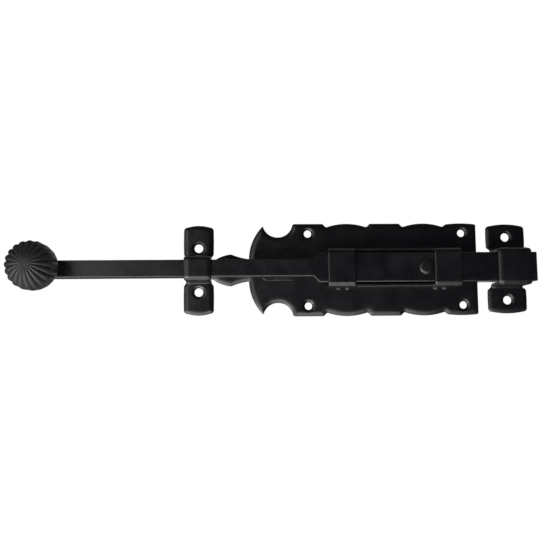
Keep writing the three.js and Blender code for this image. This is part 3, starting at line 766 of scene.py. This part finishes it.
def make_knob():
    """A ball that is fuller behind its waist than in front, fluted, and cut flat on its collar."""
    low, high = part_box("knob")
    collar_low, collar_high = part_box("knob_collar")
    collar_radius = (collar_high.x - collar_low.x) / 2
    x, radius = (low.x + high.x) / 2, (high.x - low.x) / 2
    back, front = -collar_low.y + KNOB_SEAT, -low.y
    front_power, back_power = 2 / KNOB_FRONT_SQUARENESS, 2 / KNOB_BACK_SQUARENESS
    foot = KNOB_FOOT * collar_radius
    start = math.asin((foot / radius) ** (1 / back_power))
    half = (front - back) / (1 + math.cos(start) ** back_power)
    middle = front - half
    profile = []
    for i in range(KNOB_STEPS):
        angle = start + (math.pi - start) * i / KNOB_STEPS
        cosine = math.cos(angle)
        power = back_power if cosine > 0 else front_power
        profile.append((radius * math.sin(angle) ** power,
                        middle - half * math.copysign(abs(cosine) ** power, cosine)))
    bore = STUD_RADIUS + BORE_SPARE
    socket = back + STUD_REACH + BORE_SPARE
    inner = [(0, socket), (bore, socket), (bore, back), (0.9 * collar_radius, back)]
    profile = inner + profile + [(0, front)]

    def fluted(r, depth, angle):
        if r <= foot and depth < middle:
            return r
        lobe = abs(math.cos(angle * KNOB_FLUTES / 2)) ** FLUTE_POWER
        rise = min(max((depth - middle + FLUTE_START * half) / (FLUTE_RUN * half), 0), 1)
        fade = rise * rise * (3 - 2 * rise) * min(1, r / (FLUTE_EYE * radius))
        return r - FLUTE_DEPTH * (1 - lobe) * fade

    vertices, faces = lathe(profile, x, KNOB_FLUTES * FLUTE_STEPS, fluted)
    new_piece("knob_fluted", vertices, faces, SLIDING, "coated_casting", "knob")


COLLAR_WAIST = 0.75  # as a share of its radius
COLLAR_FOOT = 0.6 * MM
COLLAR_ROUND = 0.5 * MM


def make_collar():
    """A short neck with a waist, between the rod and the knob."""
    low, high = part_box("knob_collar")
    x, r = (low.x + high.x) / 2, (high.x - low.x) / 2
    back, length = -high.y, high.y - low.y
    bore = STUD_RADIUS + BORE_SPARE
    foot, waist = r - COLLAR_FOOT, COLLAR_WAIST * r
    outer = [(bore, back), (foot, back), (foot, back + 0.25 * length), (waist, back + 0.45 * length),
             (waist, back + 0.65 * length), (r, back + 0.9 * length), (r, back + length),
             (bore, back + length)]
    vertices, faces = lathe(rounded_profile(outer, COLLAR_ROUND), x, closed=True)
    new_piece("knob_collar_turned", vertices, faces, SLIDING, "coated_casting", "knob_collar")


TAIL_CHAMFER = 0.15  # as a share of the shank's radius
HEAD_SEAT = 0.97  # a head's radius where it sits, as a share of its widest
SEAT_RISE = 0.4  # share of the upright side that it takes to widen
RIVET_SIDE = 0.28  # the upright side of a head, as a share of its height
DOME_POWER = 0.45  # under 1, so a head's top is flatter than a ball
DOME_STEPS = 12


def rivet_profile(shank, tail, seat, radius, height):
    """From a flat tail up the shank, under the head and over its flattened dome."""
    side = RIVET_SIDE * height
    chamfer = math.copysign(TAIL_CHAMFER * shank, seat - tail)
    profile = [(0, tail), ((1 - TAIL_CHAMFER) * shank, tail), (shank, tail + chamfer), (shank, seat),
               (HEAD_SEAT * radius, seat), (radius, seat + SEAT_RISE * side), (radius, seat + side)]
    for k in range(1, DOME_STEPS):
        angle = QUARTER * k / DOME_STEPS
        profile.append((radius * math.cos(angle) ** DOME_POWER,
                        seat + side + (height - side) * math.sin(angle)))
    return profile + [(0, seat + height)]


STOP_SHANK_RADIUS = 2.3 * MM
SPRING_HEAD = 0.8 * MM
RIVET_ROOM = 0.05 * MM


def make_rivets():
    """The stop rivet on the bolt, the leaf spring's rivet, and the stud that holds the knob."""
    bar_low, bar_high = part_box("bolt_bar")
    low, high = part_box("stop_rivet")
    x, radius = (low.x + high.x) / 2, (high.x - low.x) / 2
    seat = -bar_low.y
    vertices, faces = lathe(rivet_profile(STOP_SHANK_RADIUS, -high.y, seat, radius, -low.y - seat), x)
    new_piece("stop_rivet_head", vertices, faces, SLIDING, "coated_rivet", "stop_rivet")

    low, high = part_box("spring_rivet")
    x, radius = (low.x + high.x) / 2, (high.x - low.x) / 2
    shank = SPRING_HOLE_RADIUS - RIVET_ROOM
    vertices, faces = lathe(rivet_profile(shank, -high.y, -low.y - SPRING_HEAD, radius, SPRING_HEAD), x, 48)
    new_piece("spring_rivet_head", vertices, faces, FIXED, "coated_rivet", "spring_rivet")

    low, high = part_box("knob_stud")
    x, radius = (low.x + high.x) / 2, (high.x - low.x) / 2
    seat = -bar_high.y
    vertices, faces = lathe(rivet_profile(STUD_RADIUS, -low.y, seat, radius, -high.y - seat), x, 48)
    new_piece("knob_stud_peened", vertices, faces, SLIDING, "coated_rivet", "knob_stud")


# ---- Welds --------------------------------------------------------------------------------------------

WELD_ROWS, WELD_STEPS = 24, 10
WELD_LEAST = 0.03  # a bead's size at its two ends, as a share of its largest
WELD_LUMPS = 0.08
WELD_SEED_STEP = 1.7


def make_weld(node, seed):
    """A fillet bead in the corner between the channel's wall and the plate, a little lumpy."""
    low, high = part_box(node)
    side = 1 if high.z + low.z > 0 else -1
    wall = low.z if side > 0 else high.z
    x0, half, reach = (high.x + low.x) / 2, (high.x - low.x) / 2, high.z - low.z
    vertices, faces = [], []
    for i in range(WELD_ROWS + 1):
        s = math.cos(math.pi * i / WELD_ROWS)
        size = reach * max(math.sqrt(1 - s * s), WELD_LEAST)
        size *= 1 - WELD_LUMPS + WELD_LUMPS * math.sin(6 * s + seed) * math.cos(9 * s + 2 * seed)
        ring = [(0, 0)] + [(math.cos(QUARTER * k / WELD_STEPS), math.sin(QUARTER * k / WELD_STEPS))
                           for k in range(WELD_STEPS + 1)]
        vertices += [(x0 + half * s, high.y - size * a, wall + side * size * b) for a, b in ring]
    count = len(ring)
    for i in range(WELD_ROWS):
        for k in range(count):
            a, b = i * count + k, i * count + (k + 1) % count
            faces.append((a, b, b + count, a + count))
    faces += [range(count), range(WELD_ROWS * count, (WELD_ROWS + 1) * count)]
    new_piece(node + "_bead", vertices, faces, FIXED, "coated_weld", node, smooth_under=50)


# ---- Assembly -----------------------------------------------------------------------------------------

make_backplate()
make_channel()
make_strip("guide_strap", "guide_strap_bent", inner_half=5.3 * MM, band=15.5 * MM,
           hole_pitch=26 * MM, hole_radius=2.55 * MM)
make_strip("keeper", "keeper_bent", inner_half=9 * MM, band=19.4 * MM,
           hole_pitch=37.7 * MM, hole_radius=2.55 * MM)
make_leaf_spring()
make_bar()
make_knob()
make_collar()
make_rivets()
welds = sorted(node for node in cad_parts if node.startswith("weld_"))
for number, node in enumerate(welds):
    make_weld(node, WELD_SEED_STEP * number)


# ---- Camera, light and floor --------------------------------------------------------------------------

# The camera looks at TARGET from DISTANCE away; yaw is about Z and roll about its own line of sight
TARGET = Vector((-68.525, 0, 0.14)) * MM
DISTANCE = 439.93 * MM
ELEVATION, YAW, ROLL = math.radians(-6.093), math.radians(-1.735), math.radians(-0.535)
FIELD_OF_VIEW = math.radians(39.98)
SENSOR = 36


def aimed(location, target):
    """The turn that points a light or a camera from location at target."""
    return (Vector(target) - Vector(location)).to_track_quat("-Z", "Y").to_euler()


def make_camera():
    """Nearly straight in front, from a little below, so the lower walls of the bridges show."""
    back = Vector((math.sin(YAW) * math.cos(ELEVATION), -math.cos(YAW) * math.cos(ELEVATION),
                   math.sin(ELEVATION)))
    right = Vector((math.cos(YAW), math.sin(YAW), 0))
    up = back.cross(right)
    across = math.cos(ROLL) * right + math.sin(ROLL) * up
    upward = math.cos(ROLL) * up - math.sin(ROLL) * right
    camera = bpy.data.objects.new("camera", bpy.data.cameras.new("camera"))
    camera.data.sensor_width = SENSOR
    camera.data.lens = SENSOR / 2 / math.tan(FIELD_OF_VIEW / 2)
    camera.data.clip_start = 0.01
    camera.matrix_world = Matrix.Translation(TARGET + back * DISTANCE) @ Matrix(
        (across, upward, back)).transposed().to_4x4()
    bpy.context.collection.objects.link(camera)
    bpy.context.scene.camera = camera


def area_light(name, location, target, size, power, colour=(1, 1, 1)):
    """A rectangular softbox: size in metres, power in watts."""
    data = bpy.data.lights.new(name, "AREA")
    data.shape = "RECTANGLE"
    data.size, data.size_y = size
    data.energy = power
    data.color = colour
    lamp = bpy.data.objects.new(name, data)
    lamp.location = location
    lamp.rotation_euler = aimed(location, target)
    lamp.visible_camera = False
    bpy.context.collection.objects.link(lamp)


def make_floor():
    """A plain pale floor, with an overhead light of its own that keeps it evenly bright."""
    depth, reach = 0.55, 30.0
    mesh = bpy.data.meshes.new("floor")
    mesh.from_pydata([(x, y, -depth) for x, y in rectangle(reach, reach)], [], [(0, 1, 2, 3)])
    pale = bpy.data.materials.new("pale_floor")
    pale.use_nodes = True
    shader = pale.node_tree.nodes["Principled BSDF"]
    shader.inputs["Base Color"].default_value = (0.9, 0.9, 0.9, 1)
    shader.inputs["Roughness"].default_value = 0.9
    shader.inputs["Specular IOR Level"].default_value = 0.0
    mesh.materials.append(pale)
    floor = bpy.data.objects.new("floor", mesh)
    floor.visible_glossy = False
    bpy.context.collection.objects.link(floor)

    data = bpy.data.lights.new("floor_light", "SUN")
    data.energy = 3.4
    data.angle = math.radians(60)
    lamp = bpy.data.objects.new("floor_light", data)
    lamp.location = (0, 0, 2)
    bpy.context.collection.objects.link(lamp)
    lit = bpy.data.collections.new("lit_floor")
    lit.objects.link(floor)
    lamp.light_linking.receiver_collection = lit


BACKDROP_FADE = (-0.1, 0.9)  # how squarely a direction points behind the object, from dark to backdrop
DIM_COLOUR = (0.8, 0.78, 1, 1)


def make_world(seen, dark, backdrop):
    """White to the camera. It lights the object dimly, and more from behind, as a pale backdrop does."""
    world = bpy.data.worlds.new("studio")
    world.use_nodes = True
    nodes = Nodes(world.node_tree)
    direction = nodes.add("ShaderNodeTexCoord").outputs["Generated"]
    toward_back = nodes.add("ShaderNodeSeparateXYZ", {"Vector": direction}).outputs["Y"]
    strength = nodes.span(toward_back, *BACKDROP_FADE, dark, backdrop)
    seen_by_camera = nodes.add("ShaderNodeLightPath").outputs["Is Camera Ray"]
    bright = nodes.add("ShaderNodeBackground", {"Color": (1, 1, 1, 1), "Strength": seen})
    dim = nodes.add("ShaderNodeBackground", {"Color": DIM_COLOUR, "Strength": strength})
    both = nodes.add("ShaderNodeMixShader", {0: seen_by_camera, 1: dim.outputs[0], 2: bright.outputs[0]})
    nodes.add("ShaderNodeOutputWorld", {"Surface": both.outputs[0]})
    bpy.context.scene.world = world


make_camera()
make_floor()
make_world(seen=1.0, dark=0.06, backdrop=0.12)
area_light("key_low_left", (-0.55, -0.42, -0.45), (-0.1, 0, 0), (0.5, 0.4), 4.5, (1, 0.96, 0.93))
area_light("left", (-0.95, -0.38, 0.1), (-0.05, 0, 0), (0.25, 0.25), 0.9, (1, 0.97, 0.95))
area_light("softbox_below", (-0.22, -0.2, -0.5), (-0.22, -0.2, 0), (0.8, 0.8), 4.6, (1, 0.98, 0.98))
area_light("low_front", (-0.2, -0.62, -0.42), (-0.08, 0, 0), (0.8, 0.22), 2.6, (1, 0.99, 1))
area_light("soft_front_left", (-0.62, -1.0, 0.1), (-0.15, 0, 0), (0.5, 0.9), 2.6, (1, 0.96, 0.95))
area_light("top", (0, 0.1, 0.7), (0, 0, 0), (1.2, 0.3), 0.8)
area_light("back", (0.2, 0.95, 0.15), (0, 0, 0), (0.8, 0.8), 1.6)
bpy.context.scene.view_settings.view_transform = "Standard"
